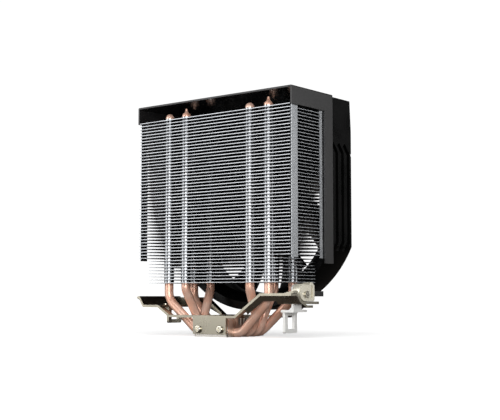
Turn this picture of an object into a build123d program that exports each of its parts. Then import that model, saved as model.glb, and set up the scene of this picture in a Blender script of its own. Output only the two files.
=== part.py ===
from build123d import *
import math
import os

os.makedirs("parts", exist_ok=True)

# Single tower CPU cooler. Millimetres. The origin is the centre of the contact face that
# sits on the processor. +Z runs up the tower, +Y towards the fan, X along the wide fin face.

# ---- driving dimensions ----
fin_width = 132.0
fin_depth = 40.0
fin_thickness = 0.4
fin_pitch = 2.15
first_fin_height = 35.6
wide_fin_count = 45
narrow_fin_count = 8
fin_step = 9.7
tab_width = 6.4
tab_inset = 1.6

pipe_radius = 3.0
pipe_fit = 0.03
collar_wall = 0.35
column_outer_x = 43.5
column_inner_x = 28.0
column_edge = 7.2
pipe_gap = 0.5
pipe_axis_height = 2.7
outer_ramp_start_x = 19.0
outer_ramp_below_fins = 11.1
inner_bend_x = 22.3
inner_rise = (26.0, 4.2, 14.0)
inner_bend_below_fins = 4.6
outer_bend_radius = 12.0
inner_bend_radius = 8.4
pipe_tip_above_fin = 6.5

base_width = 28.5
bar_clearance = 0.4
base_height = 6.6
clamp_height = 5.8
clamp_slot_width = 1.5
clamp_slot_depth = 4.6
clamp_slot_pitch = 3.4
clamp_slot_count = 5

plate = 1.6
bend_radius = 1.1
flange_height = 10.7
bar_width = 4.6
fan_gap = 1.5
arm_low = 19.8
arm_high = 27.6
far_arm_high = 25.0
end_lip = 26.2
wing_level = 22.4
wing_inner_x = 48.0
wing_narrow_x = 54.0
wing_outer_x = 66.9
wing_flat_half = 9.2
arm_rib = 5.0
rib_setback = 1.3

hook_x = 50.6
hook_width = 13.0
hook_plate = 2.0
window_width = 7.0
left_window_height = 6.2
right_window_height = 8.6
window_margin = 2.6
left_hook_low = 8.0
right_hook_low = 3.0

lever_pin_radius = 1.5
lever_pin_height = 27.7
lever_pin_y = -4.0
lever_travel = 3.3
lever_turn = 140.0
lever_length = 22.0
cam_gap = 0.15
cam_width = 6.4
cam_block = 12.0
cam_block_width = 5.6
cheek_half = 4.4
cheek_rise = 6.2
running_fit = 0.05
side_gap = 0.4

cover_wall = 1.2
cover_gap = 0.3
cover_headroom = 11.6
band_start_y = 16.0
band_lap = 3.5
band_drop = 5.2
cover_lap = 0.4
cover_screw_x = 50.0
cover_screw_y = 2.2

fan_depth = 25.0
fan_side_wall = 4.0
fan_top_wall = 2.0
fan_round_wall = 11.5
fan_slope = 1.4
blade_gap = 1.0
blade_count = 9
blade_start = -9.0
scoop_depth = 6.0
blade_thickness = 1.5
hub_radius = 21.0
hub_wall = 1.4
yoke_wall = 1.0
magnet_wall = 2.2
shaft_radius = 1.5
bearing_radius = 3.2
holder_radius = 4.4
strut_count = 4
strut_width = 3.6
strut_depth = 3.2
mount_plate = 2.2
screw_radius = 1.5
screw_hole_gap = 0.45
pad_radius = 2.0

# ---- places worked out from them ----
narrow_fin_width = fin_width - 2 * fin_step
fin_half = fin_width / 2
wide_first = first_fin_height + narrow_fin_count * fin_pitch
top_fin = wide_first + (wide_fin_count - 1) * fin_pitch
pipe_tip = top_fin + pipe_tip_above_fin
clamp_top = base_height + clamp_height
bracket_level = clamp_top + plate / 2
fan_back = fin_depth / 2 + fan_gap
fan_front = fan_back + fan_depth
column_y = fin_depth / 2 - column_edge
pipe_spacing = 2 * pipe_radius + pipe_gap
outer_ramp_end_height = first_fin_height - outer_ramp_below_fins
inner_bend_end_height = first_fin_height - inner_bend_below_fins
far_bar_start = column_y + pipe_radius + bar_clearance
bar_far_edge = far_bar_start + bar_width
bracket_near = -bar_far_edge
bar_near_edge = -far_bar_start
base_depth = 2 * (bar_far_edge - plate)
cover_half = fin_half + cover_gap + cover_wall
cover_top = top_fin + cover_headroom
cover_side_low = top_fin - cover_lap
band_low = wide_first - band_drop
fan_top = cover_top - cover_wall - cover_gap
fan_bore_radius = cover_half - fan_side_wall
fan_outer_radius = fan_bore_radius + fan_round_wall
fan_centre_height = fan_top - fan_top_wall - fan_bore_radius
band_end = fan_back + band_lap
fan_axis = Plane(origin=(0, fan_back, fan_centre_height), x_dir=(1, 0, 0), z_dir=(0, 1, 0))
pipe_columns = [(sx * x, sy * column_y) for x in (column_outer_x, column_inner_x)
                for sx in (-1, 1) for sy in (-1, 1)]


def fan_plane(distance):
    """Plane across the fan's axis, at a distance in front of the fan's back face."""
    return fan_axis.offset(distance)


def save(part, name):
    part.label = name
    export_step(part, f"parts/{name}.step")


# ---- fins ----
with BuildPart() as narrow_fin:
    Box(narrow_fin_width, fin_depth, fin_thickness)
    with Locations(*[(x, y, 0) for x, y in pipe_columns]):
        Cylinder(pipe_radius + pipe_fit + collar_wall, fin_pitch - running_fit - fin_thickness / 2,
                 align=(Align.CENTER, Align.CENTER, Align.MIN))
        Hole(pipe_radius + pipe_fit)

tab_height = fin_pitch - running_fit
tab_y = fin_depth / 2 - tab_inset - tab_width / 2
with BuildPart() as wide_fin:
    Box(fin_width, fin_depth, fin_thickness)
    with Locations(*[(x, y, 0) for x, y in pipe_columns]):
        Cylinder(pipe_radius + pipe_fit + collar_wall, fin_pitch - running_fit - fin_thickness / 2,
                 align=(Align.CENTER, Align.CENTER, Align.MIN))
        Hole(pipe_radius + pipe_fit)
    with Locations(*[(sx * (fin_half - fin_thickness / 2), sy * tab_y, fin_thickness / 2)
                     for sx in (-1, 1) for sy in (-1, 1)]):
        Box(fin_thickness, tab_width, tab_height, align=(Align.CENTER, Align.CENTER, Align.MAX))
    # folded tabs stop above the next fin down, and leave a pinch hole where they turn
    with Locations(*[(sx * (fin_half - 2.4), sy * tab_y, 0) for sx in (-1, 1) for sy in (-1, 1)]):
        Hole(0.8)

with BuildPart() as narrow_fins:
    with Locations(*[(0, 0, first_fin_height + i * fin_pitch) for i in range(narrow_fin_count)]):
        add(narrow_fin.part)
save(narrow_fins.part, "narrow_fins")

with BuildPart() as wide_fins:
    with Locations(*[(0, 0, wide_first + i * fin_pitch) for i in range(wide_fin_count)]):
        add(wide_fin.part)
save(wide_fins.part, "wide_fins")


# ---- heat pipes ----
def heat_pipe(outer, side, round_left):
    """One U-shaped pipe, its underside milled flat, with one domed and one pinched end."""
    row_y = side * column_y
    straight_top = pipe_tip - pipe_radius - 1
    if outer:
        base_y = side * 1.5 * pipe_spacing
        half_route = [(outer_ramp_start_x, base_y, pipe_axis_height),
                      (column_outer_x, row_y, outer_ramp_end_height),
                      (column_outer_x, row_y, straight_top)]
    else:
        base_y = side * 0.5 * pipe_spacing
        rise_x, rise_y, rise_z = inner_rise
        half_route = [(inner_bend_x, base_y, pipe_axis_height),
                      (rise_x, side * rise_y, rise_z),
                      (column_inner_x, row_y, inner_bend_end_height),
                      (column_inner_x, row_y, straight_top)]
    route = [(-x, y, z) for x, y, z in reversed(half_route)] + half_route
    with BuildPart() as pipe:
        with BuildLine() as path:
            FilletPolyline(*route, radius=outer_bend_radius if outer else inner_bend_radius)
        with BuildSketch(Plane(origin=path.line @ 0, z_dir=path.line % 0)):
            Circle(pipe_radius)
        sweep()
        for x, domed in ((route[0][0], round_left), (route[-1][0], not round_left)):
            with BuildSketch(Plane(origin=(x, row_y, straight_top), x_dir=(1, 0, 0), z_dir=(0, -1, 0))):
                with BuildLine():
                    Line((0, 0), (pipe_radius, 0))
                    if domed:
                        RadiusArc((pipe_radius, 0), (0, pipe_radius), -pipe_radius)
                        Line((0, pipe_radius), (0, 0))
                    else:
                        Spline((pipe_radius, 0), (1.1, 3.0), (0.7, 5.0), tangents=[(0, 1), (-0.1, 1)])
                        Line((0.7, 5.0), (0, 5.4))
                        Line((0, 5.4), (0, 0))
                make_face()
            revolve(axis=Axis((x, row_y, straight_top), (0, 0, 1)))
        split(bisect_by=Plane.XY, keep=Keep.TOP)
    return pipe


pipe_names = {
    "heat_pipe_outer_near": (True, -1, True),
    "heat_pipe_inner_near": (False, -1, False),
    "heat_pipe_inner_far": (False, 1, True),
    "heat_pipe_outer_far": (True, 1, False),
}
for name, choice in pipe_names.items():
    save(heat_pipe(*choice).part, name)


# ---- base ----
base_screw_x = base_width / 2 - 4.8
base_screw_z = 5.0
base_screw_length = base_depth / 2 - 1.5 * pipe_spacing - pipe_radius - screw_hole_gap
with BuildPart() as base_block:
    with Locations((0, 0, base_height / 2)):
        Box(base_width, base_depth, base_height)
    fillet(base_block.edges().filter_by(Axis.Z), 0.6)
    with Locations(*[(0, k * pipe_spacing, pipe_axis_height) for k in (-1.5, -0.5, 0.5, 1.5)]):
        Cylinder(pipe_radius + pipe_fit, base_width, rotation=(0, 90, 0), mode=Mode.SUBTRACT)
    with Locations(*[(sx * base_screw_x, sy * base_depth / 2, base_screw_z)
                     for sx in (-1, 1) for sy in (-1, 1)]):
        Cylinder(screw_radius + pipe_fit, 2 * base_screw_length, rotation=(90, 0, 0), mode=Mode.SUBTRACT)
save(base_block.part, "base_block")

with BuildPart() as clamp_block:
    with BuildSketch(Plane.XY.offset(base_height)):
        Rectangle(base_width, base_depth)
    extrude(amount=clamp_height)
    with BuildSketch(Plane.XY.offset(clamp_top)):
        with GridLocations(0, clamp_slot_pitch, 1, clamp_slot_count):
            Rectangle(base_width, clamp_slot_width)
    extrude(amount=-clamp_slot_depth, mode=Mode.SUBTRACT)
save(clamp_block.part, "finned_clamp_block")

# ---- retention bracket ----
ramp_start = 36.0
low_arm_left = [(0, bracket_level), (-ramp_start, bracket_level), (-46.5, arm_low), (-55.0, arm_low)]
low_arm_right = [(0, bracket_level), (ramp_start, bracket_level), (46.5, arm_low), (wing_narrow_x, arm_low)]
high_arm_right = [(0, bracket_level), (21.5, bracket_level), (42.5, arm_high), (61.0, arm_high),
                  (wing_outer_x + 2.0, arm_high + 1.8)]
rib_path = [(29.5, 18.7)] + high_arm_right[2:4]
high_arm_left = [(0, bracket_level), (-20.0, bracket_level), (-36.0, far_arm_high), (-63.4, far_arm_high)]
left_end = [(-48.0, arm_low), (-60.5, arm_low), (-64.6, end_lip), (-66.2, end_lip - 1.0)]


def ribbon(points, start_y, end_y):
    """Bent strip of plate with this centre line in X and Z, between two Y values."""
    with BuildPart() as strip:
        with BuildSketch(Plane.XZ.offset(-end_y)):
            with BuildLine():
                FilletPolyline(*points, radius=bend_radius)
            trace(line_width=plate)
        extrude(amount=end_y - start_y)
    return strip


def slanted_rib(points, y_edge):
    """Stiffening flange turned down and in at 45 degrees from the near edge of a high arm."""
    with BuildPart() as flange:
        with BuildSketch(Plane.XZ.offset(-y_edge)):
            with BuildLine():
                FilletPolyline(*points, radius=bend_radius)
            trace(line_width=plate)
        extrude(amount=math.sqrt(2) * (bar_width - rib_setback), dir=(0, 1, -1))
    return flange


def upright_rib(points, y_edge):
    """Stiffening flange turned down from the sloping and level part of a high arm."""
    line_points = [(x, z - plate / 4) for x, z in points[1:4]]
    low_points = [(x, z - arm_rib) for x, z in reversed(points[2:4])]
    with BuildPart() as flange:
        with BuildSketch(Plane.XZ.offset(-y_edge)):
            with BuildLine():
                Polyline(*line_points, *low_points, close=True)
            make_face()
        extrude(amount=plate / 2, both=True)
    return flange


def right_wing():
    """Plate across the lever's end: low at the far bar, level under the cam, high at the near bar.

    It is narrow at the far bar, and reaches out under the cam and the near bar.
    """
    points = [(bar_far_edge, arm_low), (wing_flat_half + 5, arm_low), (wing_flat_half, wing_level),
              (-wing_flat_half, wing_level), (-wing_flat_half - 5, arm_high), (bracket_near, arm_high)]
    with BuildPart() as strip:
        with BuildSketch(Plane.YZ.offset(wing_inner_x)):
            with BuildLine():
                FilletPolyline(*points, radius=bend_radius)
            trace(line_width=plate)
        extrude(amount=wing_outer_x - wing_inner_x)
        with Locations((wing_narrow_x, wing_flat_half, arm_low)):
            Box(wing_outer_x, fin_depth, 4 * arm_low, align=(Align.MIN, Align.MIN, Align.CENTER), mode=Mode.SUBTRACT)
    return strip


cam_x = wing_outer_x - 0.5 - cam_width
cheek_x = cam_x - side_gap - plate / 2
rivet_x = -55.5
rivet_y = 3.2
bracket_pieces = [
    ribbon(low_arm_left, bracket_near, bar_near_edge),
    ribbon(high_arm_right, bracket_near, bar_near_edge),
    ribbon(low_arm_right, far_bar_start, bar_far_edge),
    ribbon(high_arm_left, far_bar_start, bar_far_edge),
    ribbon(left_end, bracket_near, bar_far_edge),
    slanted_rib(rib_path, bracket_near),
    upright_rib(high_arm_left, far_bar_start + plate / 2),
    right_wing(),
]
with BuildPart() as bracket:
    with BuildSketch(Plane.XY.offset(clamp_top)):
        with Locations((0, (bracket_near + bar_far_edge) / 2)):
            Rectangle(base_width, bar_far_edge - bracket_near)
    extrude(amount=plate)
    for piece in bracket_pieces:
        add(piece.part)
    with Locations((0, bracket_near + plate / 2, clamp_top)):
        Box(base_width, plate, flange_height, align=(Align.CENTER, Align.CENTER, Align.MAX))
    with Locations(*[(sx * base_screw_x, bracket_near, base_screw_z) for sx in (-1, 1)]):
        Cylinder(screw_radius + pipe_fit, 4 * plate, rotation=(90, 0, 0), mode=Mode.SUBTRACT)
    # slot that the lever's inner cheek rises through
    with Locations((cheek_x, lever_pin_y, wing_level)):
        Box(plate + 2 * side_gap, 2 * (cheek_half + side_gap), 4 * plate, mode=Mode.SUBTRACT)
    with Locations(*[(rivet_x, sy * rivet_y, arm_low) for sy in (-1, 1)]):
        Cylinder(1.0 + pipe_fit, 4 * plate, mode=Mode.SUBTRACT)
save(bracket.part, "retention_bracket")

with BuildPart() as bracket_screws:
    for sx in (-1, 1):
        with BuildSketch(Plane.XZ.offset(-bracket_near)):
            with Locations((sx * base_screw_x, base_screw_z)):
                Circle(2.6)
        extrude(amount=1.4)
        with BuildSketch(Plane.XZ.offset(-bracket_near)):
            with Locations((sx * base_screw_x, base_screw_z)):
                Circle(screw_radius)
        extrude(amount=-plate - base_screw_length + 0.5)
    fillet(bracket_screws.edges().filter_by(GeomType.CIRCLE).group_by(Axis.Y)[0], 0.7)
    with Locations(*[(sx * base_screw_x, bracket_near - 1.4, base_screw_z) for sx in (-1, 1)]):
        Box(3.2, 1.2, 0.7, mode=Mode.SUBTRACT)
        Box(0.7, 1.2, 3.2, mode=Mode.SUBTRACT)
save(bracket_screws.part, "bracket_screws")


# ---- hooks ----
def hook_loop(x, low, top, window_height):
    """Loop plate across X, with a window that catches the socket's lug."""
    with BuildPart() as loop:
        with Locations((x, 0, low)):
            Box(hook_plate, hook_width, top - low, align=(Align.CENTER, Align.CENTER, Align.MIN))
        fillet(loop.edges().filter_by(Axis.X).group_by(Axis.Z)[0], 1.2)
        with Locations((x, 0, low + window_margin + window_height / 2)):
            Box(2 * hook_plate, window_width, window_height, mode=Mode.SUBTRACT)
    return loop


left_seat = arm_low - plate / 2
with BuildPart() as left_hook:
    add(hook_loop(-hook_x, left_hook_low, left_seat, left_window_height).part)
    with Locations((-hook_x + hook_plate / 2, 0, left_seat)):
        Box(60.0 - hook_x, hook_width, plate, align=(Align.MAX, Align.CENTER, Align.MAX))
    with Locations(*[(rivet_x, sy * rivet_y, left_seat) for sy in (-1, 1)]):
        Cylinder(1.0 + pipe_fit, 4 * plate, mode=Mode.SUBTRACT)
save(left_hook.part, "left_hook")

rivet_head = 0.8
with BuildPart() as hook_rivets:
    with Locations(*[(rivet_x, sy * rivet_y, left_seat - plate) for sy in (-1, 1)]):
        Cylinder(1.0, 2 * plate, align=(Align.CENTER, Align.CENTER, Align.MIN))
    with Locations(*[(rivet_x, sy * rivet_y, left_seat + plate) for sy in (-1, 1)]):
        Cylinder(1.9, rivet_head, align=(Align.CENTER, Align.CENTER, Align.MIN))
save(hook_rivets.part, "hook_rivets")

# The right hook carries the lever: a shelf runs out under the wing, and a cheek rises from
# its end through the wing's slot. The pin is riveted in the cheek and its head holds the cam.
shelf_top = wing_level - plate / 2 - lever_travel - side_gap
cheek_top = lever_pin_height + cheek_rise
cheek_back = lever_pin_y - cheek_half
cheek_front = lever_pin_y + cheek_half
shelf_low = shelf_top - plate
with BuildPart() as right_hook:
    add(hook_loop(hook_x, right_hook_low, shelf_top, right_window_height).part)
    with Locations((hook_x - hook_plate / 2, (cheek_back + hook_width / 2) / 2, shelf_top)):
        Box(cheek_x + plate / 2 - hook_x + hook_plate / 2, hook_width / 2 - cheek_back, plate,
            align=(Align.MIN, Align.CENTER, Align.MAX))
    with BuildSketch(Plane.YZ.offset(cheek_x - plate / 2)):
        with BuildLine():
            Polyline((cheek_front, lever_pin_height + 2.0), (cheek_front, shelf_low), (cheek_back, shelf_low),
                     (cheek_back, cheek_top - 1.5), (cheek_back + 1.5, cheek_top),
                     (cheek_front - 3.0, cheek_top), (cheek_front, lever_pin_height + 2.0))
        make_face()
    extrude(amount=plate)
    with Locations((cheek_x, lever_pin_y, lever_pin_height)):
        Cylinder(lever_pin_radius + pipe_fit, 4 * plate, rotation=(0, 90, 0), mode=Mode.SUBTRACT)
save(right_hook.part, "right_hook")

pin_head = 0.8
pin_low = cheek_x - plate / 2 - 0.6
pin_high = cam_x + cam_width + side_gap / 2 + pin_head
with BuildPart() as lever_pin:
    with BuildSketch(Plane.YZ.offset(pin_low)):
        with Locations((lever_pin_y, lever_pin_height)):
            Circle(lever_pin_radius)
    extrude(amount=pin_high - pin_low)
    with BuildSketch(Plane.YZ.offset(pin_high - pin_head)):
        with Locations((lever_pin_y, lever_pin_height)):
            Circle(2.3)
    extrude(amount=pin_head)
save(lever_pin.part, "lever_pin")

# Cam: a face whose distance from the pin grows evenly with the turn, so that it lifts the
# pin evenly off the flat wing below it. A square block beside it is the lever's root.
cam_rest = lever_pin_height - wing_level - plate / 2 - cam_gap
cam_rate = lever_travel / math.radians(lever_turn)
cam_face = []
for step in range(6):
    turned = math.radians(lever_turn) * step / 5
    angle = -math.pi / 2 - turned
    reach = cam_rest + cam_rate * turned
    cam_face.append((lever_pin_y + reach * math.cos(angle) + cam_rate * math.sin(angle),
                     lever_pin_height + reach * math.sin(angle) - cam_rate * math.cos(angle)))
cam_end_y, cam_end_z = cam_face[-1]
cam_start_y, cam_start_z = cam_face[0]
block_start = lever_pin_y + 3.6
block_end = block_start + cam_block_width
block_top = cam_start_z + cam_block
arm_level = lever_pin_height + 0.4
tongue = (cam_width - 2.0, 2.0)
with BuildPart() as cam:
    with BuildSketch(Plane.YZ.offset(cam_x)):
        with BuildLine():
            Spline(*cam_face)
            Polyline((cam_end_y, cam_end_z), (block_start, block_top - 1.5), (block_start + 1.5, block_top),
                     (block_end - 2.0, block_top), (block_end, block_top - 2.0), (block_end, cam_start_z + 1.0),
                     (block_end - 1.0, cam_start_z), (cam_start_y, cam_start_z))
        make_face()
    extrude(amount=cam_width)
    with Locations((cam_x, lever_pin_y, lever_pin_height)):
        Cylinder(lever_pin_radius + running_fit, 4 * cam_width, rotation=(0, 90, 0), mode=Mode.SUBTRACT)
    # upright slot cast into the block's outer face
    with Locations((cam_x + cam_width, block_start + cam_block_width / 2, cam_start_z + cam_block / 2)):
        Box(2.4, 1.6, cam_block - 4.6, mode=Mode.SUBTRACT)
    with Locations((cam_x + cam_width / 2, block_end - 0.5, arm_level)):
        Box(tongue[0], lever_pin_y + lever_length - 3.0 - block_end + 0.5, tongue[1],
            align=(Align.CENTER, Align.MIN, Align.CENTER))
save(cam.part, "cam_lever")

grip_x = cam_x + cam_width / 2
grip_start = block_end + 0.3
grip_end = lever_pin_y + lever_length
with BuildPart() as lever_grip:
    with BuildSketch(Plane.XY.offset(arm_level)):
        with BuildLine():
            Polyline((grip_x - 3.1, grip_start), (grip_x + 3.1, grip_start), (grip_x + 2.6, grip_end - 2.2),
                     (grip_x, grip_end), (grip_x - 2.6, grip_end - 2.2), close=True)
        make_face()
    extrude(amount=1.7, both=True)
    fillet(lever_grip.edges().filter_by(Axis.Z), 0.4)
    with Locations((grip_x, 0, arm_level)):
        Box(tongue[0] + 2 * pipe_fit, 2 * (grip_end - 3.0 + pipe_fit), tongue[1] + 2 * pipe_fit,
            mode=Mode.SUBTRACT)
save(lever_grip.part, "lever_grip")

# ---- top cover ----
cover_back = -fin_depth / 2
cover_inner = cover_half - cover_wall
with BuildPart() as top_cover:
    with BuildSketch(Plane.XZ.offset(-cover_back)):
        with Locations((0, (cover_side_low + cover_top) / 2)):
            Rectangle(2 * cover_half, cover_top - cover_side_low)
    extrude(amount=-(band_end - cover_back))
    fillet(top_cover.edges().filter_by(Axis.Y).group_by(Axis.Z)[-1], 0.8)
    with BuildSketch(Plane.XZ.offset(-cover_back)):
        with Locations((0, (cover_side_low + cover_top - cover_wall) / 2)):
            Rectangle(2 * cover_inner, cover_top - cover_wall - cover_side_low)
    extrude(amount=-(band_end - cover_back), mode=Mode.SUBTRACT)
    for side in (-1, 1):
        with Locations((side * (cover_half - cover_wall / 2), (band_start_y + band_end) / 2, band_low)):
            Box(cover_wall, band_end - band_start_y, cover_side_low - band_low + 1,
                align=(Align.CENTER, Align.CENTER, Align.MIN))
    with Locations(*[(sx * cover_screw_x, fan_back + cover_screw_y, cover_top) for sx in (-1, 1)]):
        CounterSinkHole(screw_radius + pipe_fit, 2.3, depth=5, counter_sink_angle=90)
save(top_cover.part, "top_cover")

with BuildPart() as cover_screws:
    for sx in (-1, 1):
        with Locations((sx * cover_screw_x, fan_back + cover_screw_y, cover_top - 0.1)):
            Cylinder(screw_radius - 0.05, 9, align=(Align.CENTER, Align.CENTER, Align.MAX))
            Cone(1.4, 2.1, 0.7, align=(Align.CENTER, Align.CENTER, Align.MAX))
save(cover_screws.part, "cover_screws")

# ---- fan frame ----
rib_low = fan_centre_height - 30.0
rib_high = fan_centre_height + 29.0
groove_depth = 1.6
groove_width = 3.2
groove_pitch = 6.7
rebate_half = cover_inner - 0.2
with BuildPart() as scoop:
    with BuildSketch(fan_plane(0)):
        Circle(fan_bore_radius + scoop_depth)
    with BuildSketch(fan_plane(scoop_depth)):
        Circle(fan_bore_radius)
    loft()
    split(bisect_by=Plane.XY.offset(rib_low), keep=Keep.BOTTOM)
with BuildPart() as fan_frame:
    with BuildSketch(fan_plane(0)) as frame_face:
        with Locations(fan_axis.to_local_coords(Vector(0, fan_back, fan_centre_height))):
            Circle(fan_outer_radius)
        with Locations((0, -(fan_top - fan_centre_height) / 2)):
            Rectangle(2 * fan_outer_radius + 2, fan_top - fan_centre_height)
        with Locations((0, 0)):
            Rectangle(2 * cover_half, 4 * fan_outer_radius, mode=Mode.INTERSECT)
        with Locations((0, -(fan_top - fan_centre_height))):
            Rectangle(2 * fan_outer_radius, 2 * fan_outer_radius, align=(Align.CENTER, Align.MAX),
                      mode=Mode.SUBTRACT)
    extrude(amount=fan_depth)
    chamfer(fan_frame.edges().group_by(Axis.Z)[-1].filter_by(Axis.X).sort_by(Axis.Y)[-1],
            fan_slope, fan_depth - band_lap - 1)
    with BuildSketch(fan_plane(0)):
        Circle(fan_bore_radius)
    extrude(amount=fan_depth, mode=Mode.SUBTRACT)
    # the lower half of the bore flares out at the back
    add(scoop.part, mode=Mode.SUBTRACT)
    # rebate that the cover's bands lap over
    for side in (-1, 1):
        with Locations((side * rebate_half, fan_back, band_low - 1)):
            Box(10, 2 * (band_lap + 0.3), 200, align=(Align.MIN if side > 0 else Align.MAX,
                                                      Align.CENTER, Align.MIN), mode=Mode.SUBTRACT)
        # grooves that leave upright ribs, turned back at both ends
        with BuildSketch(Plane.YZ.offset(side * cover_half)):
            for i in range(3):
                y = fan_back + 8.0 + i * groove_pitch
                with BuildLine():
                    Polyline((y - 5, rib_low - 6), (y, rib_low), (y, rib_high), (y - 5, rib_high + 6))
                trace(line_width=groove_width)
        extrude(amount=-side * groove_depth, mode=Mode.SUBTRACT)
        # step in the front corner above the ribs
        with Locations((side * cover_half, fan_front, rib_high)):
            Box(1.2, 1.2, 1.6, mode=Mode.SUBTRACT)
    with BuildSketch(fan_plane(0)):
        Circle(hub_radius)
        with PolarLocations(0, strut_count, start_angle=45):
            Rectangle(fan_bore_radius + 1, strut_width, align=(Align.MIN, Align.CENTER))
    extrude(amount=mount_plate)
    with BuildSketch(fan_plane(mount_plate)):
        with PolarLocations(0, strut_count, start_angle=45):
            with Locations((hub_radius - 2, 0)):
                Rectangle(fan_bore_radius + 1 - hub_radius + 2, strut_width / 2, align=(Align.MIN, Align.CENTER))
    extrude(amount=strut_depth - mount_plate)
    with BuildSketch(fan_plane(0)):
        Circle(holder_radius - 0.8)
    extrude(amount=mount_plate, mode=Mode.SUBTRACT)
    with Locations(*[(sx * cover_screw_x, fan_back + cover_screw_y, fan_top) for sx in (-1, 1)]):
        Cylinder(screw_radius, 18, mode=Mode.SUBTRACT)
    # outlet where the fan's lead leaves the frame, at the lower edge of the opening
    with BuildSketch(fan_plane(0)):
        with Locations((18.0, fan_bore_radius + 3.0)):
            Rectangle(5.0, 9.0)
    extrude(amount=2.0, mode=Mode.SUBTRACT)
save(fan_frame.part, "fan_frame")

# ---- motor, from the back of the fan to the front ----
holder_length = 17.0
board_gap = 0.4
core_start = mount_plate + 5.6
core_length = 7.0
hub_back = mount_plate + 3.4
hub_front = fan_depth - 1.0
yoke_front = hub_front - hub_wall
yoke_outer = hub_radius - hub_wall - 0.05
magnet_outer = yoke_outer - yoke_wall - 0.02
magnet_inner = magnet_outer - magnet_wall
core_radius = magnet_inner - 0.6
shaft_back = mount_plate + 1.2
mount_radius = hub_radius - 4.0


def tube(start, length, outer, inner):
    """Plain tube along the fan's axis."""
    with BuildPart() as ring:
        with BuildSketch(fan_plane(start)):
            Circle(outer)
            Circle(inner, mode=Mode.SUBTRACT)
        extrude(amount=length)
    return ring.part


save(tube(mount_plate, holder_length, holder_radius, bearing_radius + 0.02), "bearing_holder")
save(tube(shaft_back + 1.0, holder_length - 2.6, bearing_radius, shaft_radius + 0.03), "bearing_sleeve")
save(tube(shaft_back + 0.5, 0.4, 2.6, shaft_radius - 0.2), "shaft_clip")
save(tube(mount_plate + board_gap, 1.2, mount_radius, holder_radius + 0.1), "circuit_board")

with BuildPart() as shaft:
    with BuildSketch(fan_plane(shaft_back)):
        Circle(shaft_radius)
    extrude(amount=yoke_front - shaft_back)
    with BuildSketch(fan_plane(shaft_back + 0.4)):
        Circle(shaft_radius + 1)
        Circle(shaft_radius - 0.25, mode=Mode.SUBTRACT)
    extrude(amount=0.6, mode=Mode.SUBTRACT)
save(shaft.part, "fan_shaft")

pole_count = 6
coil_inner = holder_radius + 3.6
coil_outer = core_radius - 3.33
coil_width = 5.6
coil_height = 1.4
with BuildPart() as stator_core:
    with BuildSketch(fan_plane(core_start)):
        Circle(core_radius)
        Circle(core_radius - 1.6, mode=Mode.SUBTRACT)
        with PolarLocations(core_radius - 1, pole_count, start_angle=30):
            Rectangle(4, 2.2, mode=Mode.SUBTRACT)
        Circle(holder_radius + 2.2)
        with PolarLocations(0, pole_count):
            Rectangle(core_radius - 1, 3.0, align=(Align.MIN, Align.CENTER))
        Circle(holder_radius + 0.05, mode=Mode.SUBTRACT)
    extrude(amount=core_length)
save(stator_core.part, "stator_core")

with BuildPart() as coils:
    with BuildSketch(fan_plane(core_start - coil_height)):
        with PolarLocations((coil_inner + coil_outer) / 2, pole_count):
            Rectangle(coil_outer - coil_inner, coil_width)
    extrude(amount=core_length + 2 * coil_height)
    with BuildSketch(fan_plane(core_start - 0.1)):
        with PolarLocations(0, pole_count):
            Rectangle(core_radius, 3.2, align=(Align.MIN, Align.CENTER))
    extrude(amount=core_length + 0.2, mode=Mode.SUBTRACT)
save(coils.part, "stator_coils")

save(tube(hub_back + 1.5, yoke_front - yoke_wall - hub_back - 2.0, magnet_outer, magnet_inner), "magnet_ring")

with BuildPart() as yoke:
    with BuildSketch(fan_plane(hub_back + 1.0)):
        Circle(yoke_outer)
    extrude(amount=yoke_front - hub_back - 1.0)
    with BuildSketch(fan_plane(hub_back + 1.0)):
        Circle(yoke_outer - yoke_wall)
    extrude(amount=yoke_front - hub_back - 1.0 - yoke_wall, mode=Mode.SUBTRACT)
    with BuildSketch(fan_plane(hub_back)):
        Circle(shaft_radius)
    extrude(amount=fan_depth, mode=Mode.SUBTRACT)
save(yoke.part, "rotor_yoke")

# ---- rotor: hub cup and twisted blades trimmed to a cylinder ----
rotor_radius = fan_bore_radius - blade_gap
blade_middle = (hub_back + hub_front) / 2
middle_radius = (hub_radius + rotor_radius) / 2 + 2.25


def blade(turn):
    """One blade lofted through three sections that flatten towards the tip."""
    with BuildPart() as vane:
        for radius, chord, pitch_angle, sweep_angle in ((hub_radius - 0.7, 21, -43, 0),
                                                        (middle_radius, 31, -30, -9),
                                                        (rotor_radius + 4, 38, -22, -21)):
            direction = math.radians(turn + sweep_angle)
            centre = (radius * math.cos(direction), fan_back + blade_middle,
                      fan_centre_height + radius * math.sin(direction))
            lean = math.radians(pitch_angle)
            along_chord = (-math.sin(direction) * math.cos(lean), math.sin(lean),
                           math.cos(direction) * math.cos(lean))
            outward = (math.cos(direction), 0, math.sin(direction))
            with BuildSketch(Plane(origin=centre, x_dir=along_chord, z_dir=outward)):
                SlotOverall(chord, blade_thickness)
        loft()
        with BuildSketch(fan_plane(0)):
            Circle(rotor_radius)
        extrude(amount=fan_depth, mode=Mode.INTERSECT)
    return vane


blades = [blade(blade_start + 360 / blade_count * i) for i in range(blade_count)]
with BuildPart() as rotor:
    with BuildSketch(fan_plane(hub_back)):
        Circle(hub_radius)
    extrude(amount=hub_front - hub_back)
    fillet(rotor.edges().filter_by(GeomType.CIRCLE).group_by(Axis.Y)[-1], 1.2)
    for vane in blades:
        add(vane.part)
    with BuildSketch(fan_plane(hub_back - 5)):
        Circle(yoke_outer + 0.02)
    extrude(amount=hub_front - hub_wall - hub_back + 5, mode=Mode.SUBTRACT)
save(rotor.part, "fan_rotor")

# ---- small fan pieces ----
with BuildPart() as mount_cap:
    with BuildSketch(fan_plane(0)):
        Circle(mount_radius)
    extrude(amount=-0.6)
save(mount_cap.part, "motor_mount_cap")

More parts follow.
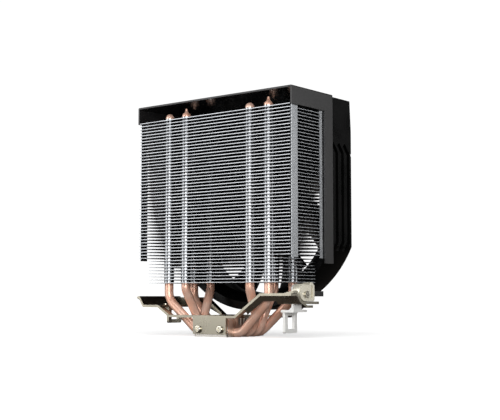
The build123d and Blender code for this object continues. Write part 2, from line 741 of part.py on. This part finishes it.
pad_places = [(sx * (fin_half - 4.5), z) for sx in (-1, 1) for z in (top_fin - 8, wide_first + 13)]
with BuildPart() as fan_pads:
    with BuildSketch(Plane.XZ.offset(-fan_back)):
        with Locations(*pad_places):
            Circle(pad_radius)
    extrude(amount=fan_gap - 0.2)
save(fan_pads.part, "fan_pads")
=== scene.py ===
import math

import bpy
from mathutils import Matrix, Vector


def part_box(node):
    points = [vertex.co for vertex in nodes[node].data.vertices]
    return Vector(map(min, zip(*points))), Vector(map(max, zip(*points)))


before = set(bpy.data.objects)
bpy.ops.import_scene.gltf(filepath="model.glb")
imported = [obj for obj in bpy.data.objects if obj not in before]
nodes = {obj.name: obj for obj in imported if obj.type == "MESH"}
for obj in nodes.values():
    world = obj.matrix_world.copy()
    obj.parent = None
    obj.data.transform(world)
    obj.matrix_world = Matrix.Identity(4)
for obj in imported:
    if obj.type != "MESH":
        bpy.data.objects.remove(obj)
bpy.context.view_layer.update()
MM = 0.001


# ---- small helpers ----
def linear(hex_colour):
    """sRGB hex colour as the linear colour that a shader takes."""
    values = [int(hex_colour[i:i + 2], 16) / 255 for i in (1, 3, 5)]
    return tuple(v / 12.92 if v <= 0.04045 else ((v + 0.055) / 1.055) ** 2.4 for v in values) + (1.0,)


def add_node(tree, kind, settings=None, links=None):
    """Adds one node. A setting or link named for a socket, or numbered, goes to that socket."""
    made = tree.nodes.new(kind)
    for name, value in (settings or {}).items():
        if isinstance(name, int) or name in made.inputs:
            made.inputs[name].default_value = value
        else:
            setattr(made, name, value)
    for name, source in (links or {}).items():
        tree.links.new(source, made.inputs[name])
    return made


def new_finish(name, colour, roughness, metallic=0.0, **settings):
    """Material with one shader, and the object's own coordinates in metres to draw patterns from."""
    material = bpy.data.materials.new(name)
    material.use_nodes = True
    tree = material.node_tree
    shader = tree.nodes["Principled BSDF"]
    shader.inputs["Base Color"].default_value = linear(colour)
    shader.inputs["Roughness"].default_value = roughness
    shader.inputs["Metallic"].default_value = metallic
    for socket, value in settings.items():
        shader.inputs[socket.replace("_", " ")].default_value = value
    place = add_node(tree, "ShaderNodeTexCoord").outputs["Object"]
    return material, tree, shader, place


def grain(tree, place, size_mm, detail=3.0, stretch=(1, 1, 1)):
    """Cloudy pattern whose lumps measure size_mm, drawn out along the axes with a small stretch."""
    scaled = add_node(tree, "ShaderNodeMapping", {"Scale": tuple(s / (size_mm * MM) for s in stretch)},
                      {"Vector": place})
    return add_node(tree, "ShaderNodeTexNoise", {"Scale": 1.0, "Detail": detail},
                    {"Vector": scaled.outputs["Vector"]}).outputs["Fac"]


def spread(tree, pattern, low, high, start=0.3, end=0.7):
    """Turns a pattern into values from low to high."""
    return add_node(tree, "ShaderNodeMapRange",
                    {"From Min": start, "From Max": end, "To Min": low, "To Max": high},
                    {"Value": pattern}).outputs["Result"]


def colour_between(tree, pattern, first, second):
    """Mixes two hex colours by a pattern."""
    return add_node(tree, "ShaderNodeMix", {"data_type": "RGBA", 6: linear(first), 7: linear(second)},
                    {0: pattern}).outputs[2]


def wave_scale(band_mm):
    """Scale of a wave pattern whose light and dark bands are each about band_mm wide."""
    return 1 / (6 * band_mm * MM)


def relief(tree, shader, pattern, depth_mm):
    """Raises the surface by a pattern, depth_mm from lowest to highest."""
    bump = add_node(tree, "ShaderNodeBump", {"Strength": 1.0, "Distance": depth_mm * MM},
                    {"Height": pattern})
    tree.links.new(bump.outputs["Normal"], shader.inputs["Normal"])


# ---- metals ----
# Rolling lines, die marks, cutter arcs, lathe rings and the cast skin are drawn coarser than real
# ones, so that they show at this size.
def rolled_aluminium():
    """Rolled aluminium sheet: faint rolling lines along the fin, and slightly cloudy."""
    material, tree, shader, place = new_finish("rolled_aluminium", "#9FA2A5", 0.3, 1.0)
    lines = grain(tree, place, 0.6, stretch=(0.04, 1, 1))
    clouds = grain(tree, place, 9.0)
    tree.links.new(spread(tree, lines, 0.22, 0.36), shader.inputs["Roughness"])
    tree.links.new(colour_between(tree, clouds, "#96999D", "#AAACAE"), shader.inputs["Base Color"])
    relief(tree, shader, lines, 0.002)
    return material


def drawn_copper():
    """Drawn copper tube: long die marks up the pipe, and a warm bloom from brazing heat.
    It is only partly metallic, to match how pale and even the pipes look."""
    material, tree, shader, place = new_finish("drawn_copper", "#FBC9B0", 0.3, 0.35)
    marks = grain(tree, place, 0.7, stretch=(1, 1, 0.06))
    bloom = grain(tree, place, 7.0, detail=2.0)
    warm = colour_between(tree, spread(tree, bloom, 0, 1, 0.35, 0.65), "#FBC3A8", "#FFD6C2")
    tree.links.new(warm, shader.inputs["Base Color"])
    tree.links.new(spread(tree, marks, 0.27, 0.36), shader.inputs["Roughness"])
    relief(tree, shader, marks, 0.0006)
    return material


def milled_aluminium():
    """Extruded and fly-cut aluminium: fine arcs of the cutter over a grey block."""
    material, tree, shader, place = new_finish("milled_aluminium", "#C9C4BE", 0.34, 1.0)
    moved = add_node(tree, "ShaderNodeMapping", {"Location": (0.06, 0.0, 0.0)}, {"Vector": place})
    arcs = add_node(tree, "ShaderNodeTexWave",
                    {"wave_type": "RINGS", "rings_direction": "Z", "Scale": wave_scale(0.7),
                     "Distortion": 0.6, "Detail": 2.0}, {"Vector": moved.outputs["Vector"]}).outputs["Fac"]
    tree.links.new(spread(tree, arcs, 0.24, 0.4, 0, 1), shader.inputs["Roughness"])
    tree.links.new(colour_between(tree, grain(tree, place, 4.0), "#BDB8B1", "#D6D2CC"),
                   shader.inputs["Base Color"])
    relief(tree, shader, arcs, 0.008)
    return material


def nickel_plated_steel():
    """Stamped steel sheet under satin nickel: warm grey, with the soft lumps of the pressing."""
    material, tree, shader, place = new_finish("nickel_plated_steel", "#989385", 0.3, 1.0)
    lumps = grain(tree, place, 1.3)
    haze = grain(tree, place, 11.0)
    tree.links.new(spread(tree, haze, 0.22, 0.38), shader.inputs["Roughness"])
    tree.links.new(colour_between(tree, haze, "#908B7D", "#A29D8F"), shader.inputs["Base Color"])
    relief(tree, shader, lumps, 0.003)
    return material


def painted_lit_hook_steel():
    """Lighter copy of the hook steel for the hook that the lever draws: painted nearly white to stand for the
    light falling on it, and a little cloudy.
    It is mostly not metallic, to match how white it looks."""
    material, tree, shader, place = new_finish("painted_lit_hook_steel", "#F4F4F1", 0.34, 0.2)
    clouds = grain(tree, place, 2.2)
    tree.links.new(spread(tree, clouds, 0.28, 0.42), shader.inputs["Roughness"])
    tree.links.new(colour_between(tree, clouds, "#EFEFEB", "#FBFBF9"), shader.inputs["Base Color"])
    return material


def polished_nickel():
    """Barrel-polished nickel on screws, rivets and the pin: brighter, with small handling marks."""
    material, tree, shader, place = new_finish("polished_nickel", "#D8D3C4", 0.18, 1.0)
    marks = grain(tree, place, 0.5)
    tree.links.new(spread(tree, marks, 0.12, 0.28), shader.inputs["Roughness"])
    relief(tree, shader, marks, 0.004)
    return material


def cast_zinc():
    """Die-cast zinc cam, flash nickel plated: creamy white metal with a fine cast skin.
    It is only partly metallic, to match how bright it looks."""
    material, tree, shader, place = new_finish("cast_zinc", "#F0EBD8", 0.34, 0.45)
    skin = grain(tree, place, 0.45)
    tree.links.new(spread(tree, skin, 0.24, 0.42), shader.inputs["Roughness"])
    tree.links.new(colour_between(tree, grain(tree, place, 3.0), "#E4DDC6", "#F6F2E4"),
                   shader.inputs["Base Color"])
    relief(tree, shader, skin, 0.015)
    return material


def turned_metal(name, dark, light, groove_mm=0.35):
    """Turned part on the fan's axis: fine rings left by the lathe."""
    material, tree, shader, place = new_finish(name, light, 0.28, 1.0)
    centred = add_node(tree, "ShaderNodeMapping", {"Location": (0, 0, -fan_axis_height)}, {"Vector": place})
    rings = add_node(tree, "ShaderNodeTexWave",
                     {"wave_type": "RINGS", "rings_direction": "Y", "Scale": wave_scale(groove_mm)},
                     {"Vector": centred.outputs["Vector"]}).outputs["Fac"]
    tree.links.new(spread(tree, rings, 0.2, 0.36, 0, 1), shader.inputs["Roughness"])
    tree.links.new(colour_between(tree, grain(tree, place, 2.5), dark, light), shader.inputs["Base Color"])
    return material


def stacked_laminations():
    """Stator steel: thin punched sheets stacked along the fan's axis."""
    material, tree, shader, place = new_finish("stacked_laminations", "#8C8C8E", 0.42, 1.0)
    sheets = add_node(tree, "ShaderNodeTexWave",
                      {"wave_type": "BANDS", "bands_direction": "Y", "Scale": wave_scale(0.5)},
                      {"Vector": place}).outputs["Fac"]
    tree.links.new(colour_between(tree, sheets, "#5F5F62", "#9A9A9C"), shader.inputs["Base Color"])
    relief(tree, shader, sheets, 0.05)
    return material


def enamelled_wire():
    """Enamelled copper wire wound in tight turns: amber lacquer over copper."""
    material, tree, shader, place = new_finish("enamelled_wire", "#B4552B", 0.25, 0.8, Coat_Weight=0.6)
    turns = add_node(tree, "ShaderNodeTexWave",
                     {"wave_type": "BANDS", "bands_direction": "X", "Scale": wave_scale(0.35)},
                     {"Vector": place}).outputs["Fac"]
    tree.links.new(colour_between(tree, turns, "#7C3216", "#CF6B36"), shader.inputs["Base Color"])
    relief(tree, shader, turns, 0.1)
    return material


# ---- plastics and rubber ----
# The spark-eroded texture is drawn coarser than a real one, so that it shows at this size.
def cover_abs():
    """Moulded black ABS: fine satin texture outside, and a polished core side facing down."""
    material, tree, shader, place = new_finish("cover_abs", "#1B1A1B", 0.42, IOR=1.53)
    texture = grain(tree, place, 0.55, detail=4.0)
    facing = add_node(tree, "ShaderNodeSeparateXYZ", None,
                      {"Vector": add_node(tree, "ShaderNodeTexCoord").outputs["Normal"]}).outputs["Z"]
    outside = spread(tree, facing, 0.2, 0.42, -0.6, -0.2)
    uneven = spread(tree, grain(tree, place, 14.0), -0.03, 0.04)
    total = add_node(tree, "ShaderNodeMath", {"operation": "ADD"}, {0: outside, 1: uneven})
    tree.links.new(total.outputs["Value"], shader.inputs["Roughness"])
    relief(tree, shader, texture, 0.012)
    return material


def moulded_black(name, colour, roughness, texture_mm=0.6, depth_mm=0.02, gloss=0.5):
    """Black PBT with a spark-eroded texture, whose flow patches are a little greyer and duller.
    The cover's black-oxide screws share it, with a finer texture. A gloss under 0.5 dulls the shine."""
    material, tree, shader, place = new_finish(name, colour, roughness, IOR=1.55, Specular_IOR_Level=gloss)
    texture = grain(tree, place, texture_mm, detail=4.0)
    flow = grain(tree, place, 16.0, detail=2.0)
    tree.links.new(spread(tree, flow, roughness - 0.07, roughness + 0.07), shader.inputs["Roughness"])
    lift = 8
    lighter = "#" + "".join(f"{int(colour[i:i + 2], 16) + lift:02X}" for i in (1, 3, 5))
    tree.links.new(colour_between(tree, flow, colour, lighter), shader.inputs["Base Color"])
    relief(tree, shader, texture, depth_mm)
    return material


def silicone_rubber():
    """Moulded silicone pad: matt, soft and slightly dusty."""
    material, tree, shader, place = new_finish("silicone_rubber", "#242424", 0.75, IOR=1.43)
    dust = grain(tree, place, 1.2)
    tree.links.new(colour_between(tree, dust, "#1C1C1C", "#343434"), shader.inputs["Base Color"])
    relief(tree, shader, dust, 0.02)
    return material


def solder_mask():
    """Glass-epoxy board under green solder mask: glossy, with the copper tracks just showing."""
    material, tree, shader, place = new_finish("solder_mask", "#12633A", 0.3, IOR=1.5, Coat_Weight=0.4)
    tracks = add_node(tree, "ShaderNodeTexVoronoi", {"feature": "DISTANCE_TO_EDGE", "Scale": 1 / (3.0 * MM)},
                      {"Vector": place}).outputs["Distance"]
    tree.links.new(colour_between(tree, spread(tree, tracks, 0, 1, 0.04, 0.08), "#2A8A55", "#0E5230"),
                   shader.inputs["Base Color"])
    return material


def bonded_ferrite():
    """Plastic-bonded ferrite ring: dull charcoal with a granular skin."""
    material, tree, shader, place = new_finish("bonded_ferrite", "#2E2B2A", 0.6)
    grit = grain(tree, place, 0.4)
    tree.links.new(colour_between(tree, grit, "#242221", "#3C3836"), shader.inputs["Base Color"])
    relief(tree, shader, grit, 0.03)
    return material


def nylon_clip():
    """Natural nylon snap ring: milky and a little translucent."""
    material, tree, shader, place = new_finish("nylon_clip", "#E3DFD2", 0.38, Subsurface_Weight=0.15)
    relief(tree, shader, grain(tree, place, 0.5), 0.01)
    return material


# ---- finish of every CAD node ----
rotor_low, rotor_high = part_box("fan_rotor")
fan_axis_height = (rotor_low.z + rotor_high.z) / 2

fin_metal = rolled_aluminium()
copper = drawn_copper()
block_metal = milled_aluminium()
sheet_steel = nickel_plated_steel()
bright_nickel = polished_nickel()
grip_black = moulded_black("moulded_grip_black", "#121212", 0.42)
finishes = {
    "narrow_fins": fin_metal, "wide_fins": fin_metal,
    "heat_pipe_outer_near": copper, "heat_pipe_inner_near": copper,
    "heat_pipe_inner_far": copper, "heat_pipe_outer_far": copper,
    "base_block": block_metal, "finned_clamp_block": block_metal,
    # The right hook wears a copy of the hook steel painted nearly white for the light on it; the left hook
    # keeps the plain steel.
    "retention_bracket": sheet_steel, "left_hook": sheet_steel, "right_hook": painted_lit_hook_steel(),
    "bracket_screws": bright_nickel, "hook_rivets": bright_nickel, "lever_pin": bright_nickel,
    "cam_lever": cast_zinc(), "lever_grip": grip_black,
    "top_cover": cover_abs(),
    "cover_screws": moulded_black("black_oxide_steel", "#161616", 0.36, 0.4, 0.008),
    "fan_frame": moulded_black("moulded_frame_black", "#030303", 0.3, 0.6, 0.002, 0.06),
    "fan_rotor": moulded_black("moulded_rotor_smoke", "#19191B", 0.26, 0.8, 0.008),
    "motor_mount_cap": moulded_black("moulded_cap_black", "#151515", 0.5),
    "fan_pads": silicone_rubber(),
    "bearing_holder": turned_metal("turned_brass", "#B08A45", "#D2AE66"),
    "bearing_sleeve": turned_metal("sintered_bronze", "#7E5B36", "#A67B4C"),
    "fan_shaft": turned_metal("ground_shaft_steel", "#C4C6C8", "#DADCDD", 0.2),
    "rotor_yoke": turned_metal("drawn_yoke_steel", "#86888B", "#A9ABAE", 0.8),
    "circuit_board": solder_mask(), "stator_core": stacked_laminations(),
    "stator_coils": enamelled_wire(), "magnet_ring": bonded_ferrite(), "shaft_clip": nylon_clip(),
}
for name, material in finishes.items():
    slots = nodes[name].material_slots
    if not slots:
        nodes[name].data.materials.append(material)
    for slot in nodes[name].material_slots:
        slot.material = material

# ---- broken edges: pressed, moulded and cut edges are never sharp ----
edge_radius_mm = {
    "retention_bracket": 0.3, "left_hook": 0.3, "right_hook": 0.3, "base_block": 0.25,
    "finned_clamp_block": 0.2, "lever_grip": 0.4, "cam_lever": 0.3, "top_cover": 0.35,
    "fan_frame": 0.5, "fan_rotor": 0.2, "motor_mount_cap": 0.15, "fan_pads": 0.3,
    "bracket_screws": 0.15, "hook_rivets": 0.25, "lever_pin": 0.2,
}
for name, radius in edge_radius_mm.items():
    piece = nodes[name]
    weld = piece.modifiers.new("join_seams", "WELD")
    weld.merge_threshold = 0.002 * MM
    edge = piece.modifiers.new("broken_edges", "BEVEL")
    edge.width = radius * MM
    edge.segments = 2
    edge.limit_method = "ANGLE"
    edge.angle_limit = math.radians(38)
    edge.harden_normals = False

# ---- floor, light and camera ----
def seen_by_camera(tree):
    """1 for what the camera sees straight, 0 for what light and reflections see."""
    return add_node(tree, "ShaderNodeLightPath").outputs["Is Camera Ray"]


def studio_floor():
    """White paper that keeps a soft contact shadow near the cooler, and looks dark in the metal's
    reflections."""
    shadow_reach, glow_from = 0.12, 0.45
    dim, full = 0.62, 1.0
    material, tree, shader, place = new_finish("studio_floor", "#F0F0F0", 0.9)
    shader.inputs["Emission Color"].default_value = linear("#FFFFFF")
    away = add_node(tree, "ShaderNodeVectorMath", {"operation": "LENGTH"}, {0: place}).outputs["Value"]
    tree.links.new(spread(tree, away, dim, full, shadow_reach, glow_from), shader.inputs["Emission Strength"])
    dark = add_node(tree, "ShaderNodeBsdfDiffuse", {"Color": linear("#6A6460")})
    either = add_node(tree, "ShaderNodeMixShader", None,
                      {0: seen_by_camera(tree), 1: dark.outputs[0], 2: shader.outputs[0]})
    tree.links.new(either.outputs[0], tree.nodes["Material Output"].inputs["Surface"])
    return material


reach = 40.0
floor_gap = 0.1 * MM
floor_mesh = bpy.data.meshes.new("floor")
floor_mesh.from_pydata([(-reach, -reach, 0), (reach, -reach, 0), (reach, reach, 0), (-reach, reach, 0)],
                       [], [(0, 1, 2, 3)])
floor_mesh.materials.append(studio_floor())
floor = bpy.data.objects.new("floor", floor_mesh)
floor.location.z = -floor_gap
bpy.context.collection.objects.link(floor)


def softbox(name, place, aim, width, height, watts):
    """White rectangular studio light."""
    lamp = bpy.data.lights.new(name, "AREA")
    lamp.shape = "RECTANGLE"
    lamp.size, lamp.size_y, lamp.energy = width, height, watts
    piece = bpy.data.objects.new(name, lamp)
    piece.location = place
    piece.rotation_euler = (Vector(aim) - Vector(place)).to_track_quat("-Z", "Y").to_euler()
    bpy.context.collection.objects.link(piece)


middle = (0, 0, 0.08)
softbox("front_left_softbox", (-0.7, -0.85, 0.3), middle, 0.7, 0.8, 6.0)
softbox("camera_side_softbox", (0.62, -0.84, 0.21), middle, 0.9, 0.4, 7.4)
softbox("right_softbox", (0.98, 0.66, 0.22), middle, 0.55, 0.7, 3.6)
softbox("top_softbox", (0.25, -0.35, 1.2), middle, 0.9, 0.9, 6.0)

fill_light, backdrop_glow = 0.06, 1.05
world = bpy.data.worlds.new("studio")
bpy.context.scene.world = world
world.use_nodes = True
sky = world.node_tree
sky.nodes["Background"].inputs["Color"].default_value = linear("#FFFFFF")
sky.nodes["Background"].inputs["Strength"].default_value = fill_light
backdrop = add_node(sky, "ShaderNodeBackground", {"Color": linear("#FFFFFF"), "Strength": backdrop_glow})
either = add_node(sky, "ShaderNodeMixShader", None,
                  {0: seen_by_camera(sky), 1: sky.nodes["Background"].outputs[0], 2: backdrop.outputs[0]})
sky.links.new(either.outputs[0], sky.nodes["World Output"].inputs["Surface"])
bpy.context.scene.view_settings.view_transform = "Standard"

camera_turn = math.radians(38.935)
camera_rise = math.radians(4.636)
lens = bpy.data.cameras.new("camera")
lens.sensor_width = 36.0
lens.lens = 75.8
camera = bpy.data.objects.new("camera", lens)
camera.location = (0.4564, -0.5430, 0.0271)
looking = Vector((-math.sin(camera_turn) * math.cos(camera_rise),
                  math.cos(camera_turn) * math.cos(camera_rise), math.sin(camera_rise)))
camera.rotation_euler = looking.to_track_quat("-Z", "Y").to_euler()
bpy.context.collection.objects.link(camera)
bpy.context.scene.camera = camera
